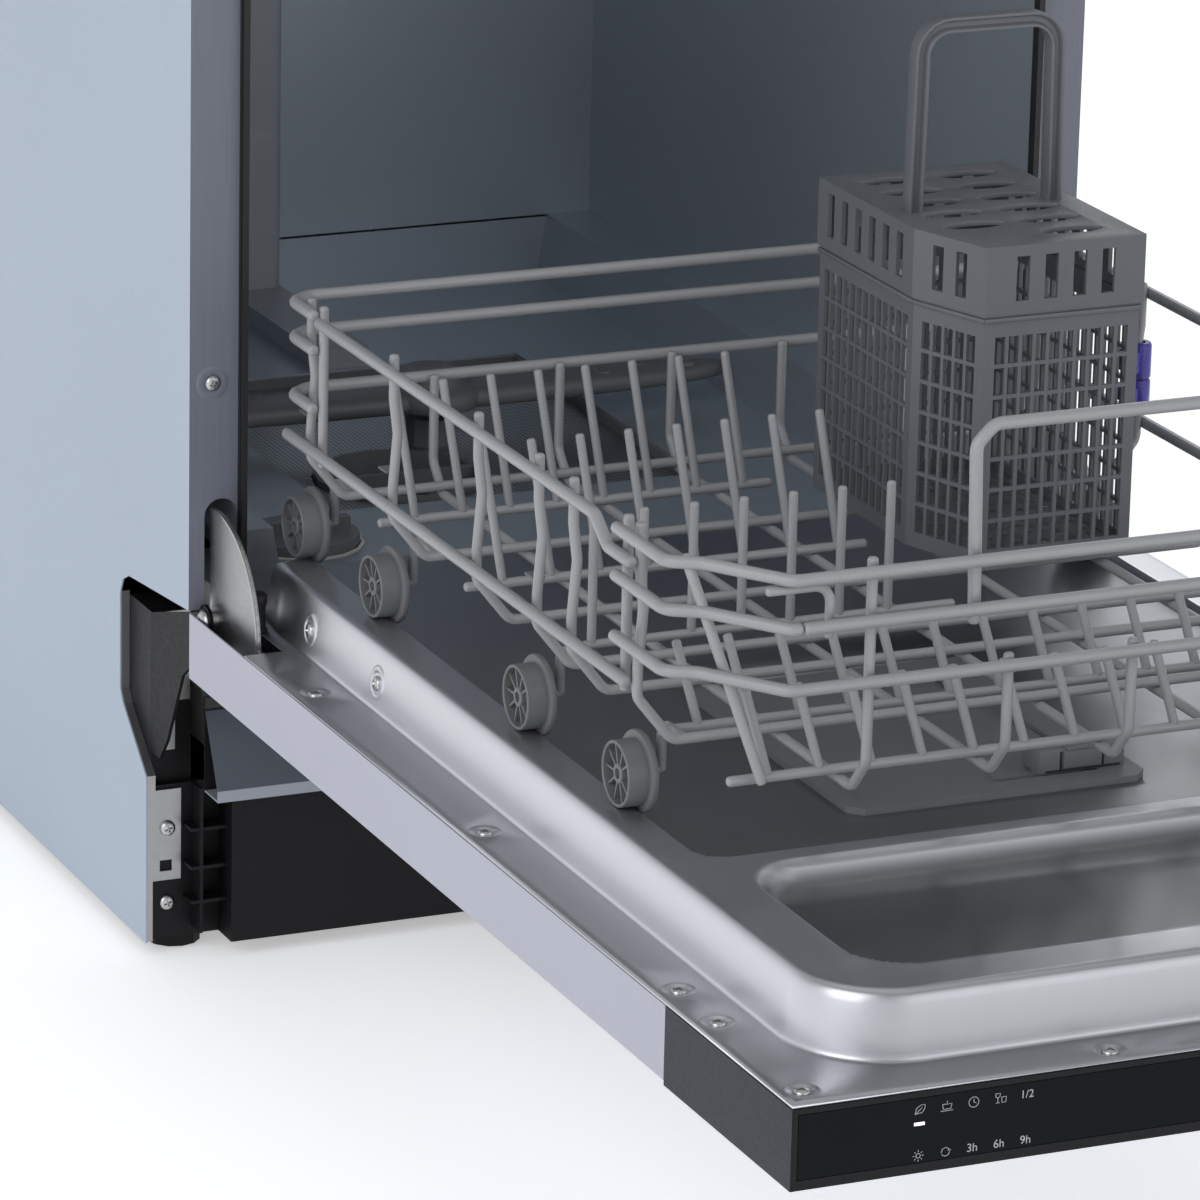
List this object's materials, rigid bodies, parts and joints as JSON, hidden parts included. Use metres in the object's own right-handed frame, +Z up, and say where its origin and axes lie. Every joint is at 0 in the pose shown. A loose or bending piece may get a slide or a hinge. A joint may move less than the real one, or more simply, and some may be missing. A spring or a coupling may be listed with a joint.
{
  "type": "fully integrated dishwasher",
  "caption": "Slim built-in dishwasher with its door open flat, a wheeled lower wire rack with cutlery basket on the steel liner, and a sliding upper rack.",
  "frame": {"origin": "on the floor under the middle of the open machine's length and width", "axes": "+X to the right seen from the front, +Y into the machine, +Z up"},
  "size_m": [0.448, 1.1828, 0.83],
  "materials": {
    "cabinet_paint": "pale blue-grey enamel",
    "stainless": "satin",
    "steel_bracket": "zinc plated",
    "screw_steel": "bright",
    "base_plastic": "black",
    "console_plastic": "black",
    "fascia_gloss": "black gloss",
    "rack_coating": "grey coating on wire",
    "wheel_plastic": "grey",
    "basket_plastic": "dark grey",
    "clip_plastic": "violet blue",
    "seal_rubber": "dark grey",
    "inner_plastic": "grey",
    "white_plastic": "white",
    "pump_black": "black",
    "spring_steel": "oiled"
  },
  "bodies": {
    "cabinet": {"left_side_panel": "cabinet_paint", "right_side_panel": "cabinet_paint", "rear_panel": "steel_bracket", "top_cover": "steel_bracket", "worktop_brackets": "steel_bracket", "tub": "stainless", "door_gasket": "seal_rubber", "hinge_brackets": "steel_bracket", "corner_brackets": "steel_bracket", "cabinet_screws": "screw_steel", "base_tray": "base_plastic", "levelling_feet": "base_plastic", "kick_panel": "cabinet_paint", "sump": "inner_plastic", "filter_plate": "stainless", "water_softener": "white_plastic", "circulation_pump": "pump_black", "drain_pump": "pump_black", "inlet_valve": "white_plastic", "side_water_tank": "white_plastic", "door_springs": "spring_steel", "supply_tube": "inner_plastic", "ceiling_sprayer": "inner_plastic", "latch_striker": "stainless"},
    "door": {"door_outer_skin": "cabinet_paint", "door_liner": "stainless", "door_screws": "screw_steel", "hinge_arms": "steel_bracket", "console_housing": "console_plastic", "console_face": "fascia_gloss", "door_latch": "console_plastic", "dispenser_housing": "inner_plastic", "door_bottom_seal": "seal_rubber"},
    "filter_cup": {"filter_cup": "inner_plastic"},
    "salt_cap": {"salt_cap": "white_plastic"},
    "lower_spray_arm": {"lower_spray_arm": "inner_plastic"},
    "dispenser_lid": {"dispenser_lid": "inner_plastic"},
    "rinse_aid_cap": {"rinse_aid_cap": "inner_plastic"},
    "front_rail": {"lower_rack_front_rail": "rack_coating"},
    "lower_rack": {"lower_rack_frame": "rack_coating", "rack_clips": "clip_plastic"},
    "folding_tines": {"folding_tines": "rack_coating"},
    "cutlery_basket": {"cutlery_basket": "basket_plastic"},
    "upper_rack": {"upper_rack_wires": "rack_coating", "upper_rack_rails": "inner_plastic", "upper_arm_hub": "inner_plastic"},
    "upper_spray_arm": {"upper_spray_arm": "inner_plastic"},
    "upper_roller_left": {"upper_roller_left": "wheel_plastic"},
    "upper_roller_right": {"upper_roller_right": "wheel_plastic"},
    "push_button_1": {"push_button_1": "fascia_gloss"},
    "push_button_2": {"push_button_2": "fascia_gloss"},
    "push_button_3": {"push_button_3": "fascia_gloss"},
    "rack_wheel_left_1": {"rack_wheel_left_1": "wheel_plastic"},
    "rack_wheel_left_2": {"rack_wheel_left_2": "wheel_plastic"},
    "rack_wheel_left_3": {"rack_wheel_left_3": "wheel_plastic"},
    "rack_wheel_left_4": {"rack_wheel_left_4": "wheel_plastic"},
    "rack_wheel_right_1": {"rack_wheel_right_1": "wheel_plastic"},
    "rack_wheel_right_2": {"rack_wheel_right_2": "wheel_plastic"},
    "rack_wheel_right_3": {"rack_wheel_right_3": "wheel_plastic"},
    "rack_wheel_right_4": {"rack_wheel_right_4": "wheel_plastic"}
  },
  "joints": [
    {"name": "door_hinge", "type": "hinge", "parent": "cabinet", "child": "door", "pos_m": [0, 0.047, 0.185], "axis": [-1, 0, 0], "range_deg": [0, 90]},
    {"name": "rack_ride", "type": "slide", "parent": "door", "child": "front_rail", "axis": [0, 0.9597, -0.2809], "range_m": [0, 0.3595]},
    {"name": "rack_level", "type": "hinge", "parent": "front_rail", "child": "lower_rack", "pos_m": [0, -0.4345, 0.3207], "axis": [-1, 0, 0], "range_deg": [-90, 0]},
    {"name": "upper_rack_slide", "type": "slide", "parent": "cabinet", "child": "upper_rack", "axis": [0, 1, 0], "range_m": [-0.4, 0]},
    {"name": "basket_lift", "type": "slide", "parent": "lower_rack", "child": "cutlery_basket", "axis": [0, 0, 1], "range_m": [0, 0.1]},
    {"name": "tine_fold", "type": "hinge", "parent": "lower_rack", "child": "folding_tines", "pos_m": [0, -0.239, 0.25485], "axis": [-1, 0, 0], "range_deg": [0, 90]},
    {"name": "lower_arm_spin", "type": "hinge", "parent": "cabinet", "child": "lower_spray_arm", "pos_m": [0, 0.311, 0.2], "axis": [0, 0, 1], "continuous": true},
    {"name": "upper_arm_spin", "type": "hinge", "parent": "upper_rack", "child": "upper_spray_arm", "pos_m": [0, 0.311, 0.638], "axis": [0, 0, 1], "continuous": true},
    {"name": "filter_cup_turn", "type": "hinge", "parent": "cabinet", "child": "filter_cup", "pos_m": [-0.04, 0.256, 0.145], "axis": [0, 0, 1], "range_deg": [0, 90]},
    {"name": "salt_cap_turn", "type": "hinge", "parent": "cabinet", "child": "salt_cap", "pos_m": [-0.13, 0.156, 0.182], "axis": [0, 0, 1], "range_deg": [0, 360]},
    {"name": "dispenser_lid_slide", "type": "slide", "parent": "door", "child": "dispenser_lid", "axis": [0, 1, 0], "range_m": [0, 0.034]},
    {"name": "rinse_aid_cap_turn", "type": "hinge", "parent": "door", "child": "rinse_aid_cap", "pos_m": [0.005, -0.22, 0.206], "axis": [0, 0, 1], "range_deg": [0, 90]},
    {"name": "push_button_1_press", "type": "slide", "parent": "door", "child": "push_button_1", "axis": [0, 1, 0], "range_m": [0, 0.0015], "stiffness_N_per_m": 600},
    {"name": "push_button_2_press", "type": "slide", "parent": "door", "child": "push_button_2", "axis": [0, 1, 0], "range_m": [0, 0.0015], "stiffness_N_per_m": 600},
    {"name": "push_button_3_press", "type": "slide", "parent": "door", "child": "push_button_3", "axis": [0, 1, 0], "range_m": [0, 0.0015], "stiffness_N_per_m": 600},
    {"name": "upper_roller_left_spin", "type": "hinge", "parent": "cabinet", "child": "upper_roller_left", "pos_m": [-0.19, 0.102, 0.697], "axis": [1, 0, 0], "range_deg": [-3100, 0]},
    {"name": "rack_wheel_left_1_spin", "type": "hinge", "parent": "lower_rack", "child": "rack_wheel_left_1", "pos_m": [-0.175, 0.035, 0.2298], "axis": [1, 0, 0], "continuous": true},
    {"name": "rack_wheel_left_2_spin", "type": "hinge", "parent": "lower_rack", "child": "rack_wheel_left_2", "pos_m": [-0.175, -0.06, 0.2298], "axis": [1, 0, 0], "continuous": true},
    {"name": "rack_wheel_left_3_spin", "type": "hinge", "parent": "lower_rack", "child": "rack_wheel_left_3", "pos_m": [-0.175, -0.224, 0.2298], "axis": [1, 0, 0], "continuous": true},
    {"name": "rack_wheel_left_4_spin", "type": "hinge", "parent": "lower_rack", "child": "rack_wheel_left_4", "pos_m": [-0.175, -0.3285, 0.2298], "axis": [1, 0, 0], "continuous": true},
    {"name": "upper_roller_right_spin", "type": "hinge", "parent": "cabinet", "child": "upper_roller_right", "pos_m": [0.19, 0.102, 0.697], "axis": [1, 0, 0], "range_deg": [-3100, 0]},
    {"name": "rack_wheel_right_1_spin", "type": "hinge", "parent": "lower_rack", "child": "rack_wheel_right_1", "pos_m": [0.175, 0.035, 0.2298], "axis": [1, 0, 0], "continuous": true},
    {"name": "rack_wheel_right_2_spin", "type": "hinge", "parent": "lower_rack", "child": "rack_wheel_right_2", "pos_m": [0.175, -0.06, 0.2298], "axis": [1, 0, 0], "continuous": true},
    {"name": "rack_wheel_right_3_spin", "type": "hinge", "parent": "lower_rack", "child": "rack_wheel_right_3", "pos_m": [0.175, -0.224, 0.2298], "axis": [1, 0, 0], "continuous": true},
    {"name": "rack_wheel_right_4_spin", "type": "hinge", "parent": "lower_rack", "child": "rack_wheel_right_4", "pos_m": [0.175, -0.3285, 0.2298], "axis": [1, 0, 0], "continuous": true}
  ],
  "couplings": [
    {"joint": "rack_ride", "follows": "door_hinge", "m_per_rad": 0.22887},
    {"joint": "rack_level", "follows": "door_hinge", "ratio": -1},
    {"joint": "upper_roller_left_spin", "follows": "upper_rack_slide", "rad_per_m": 131.58},
    {"joint": "upper_roller_right_spin", "follows": "upper_rack_slide", "rad_per_m": 131.58}
  ]
}
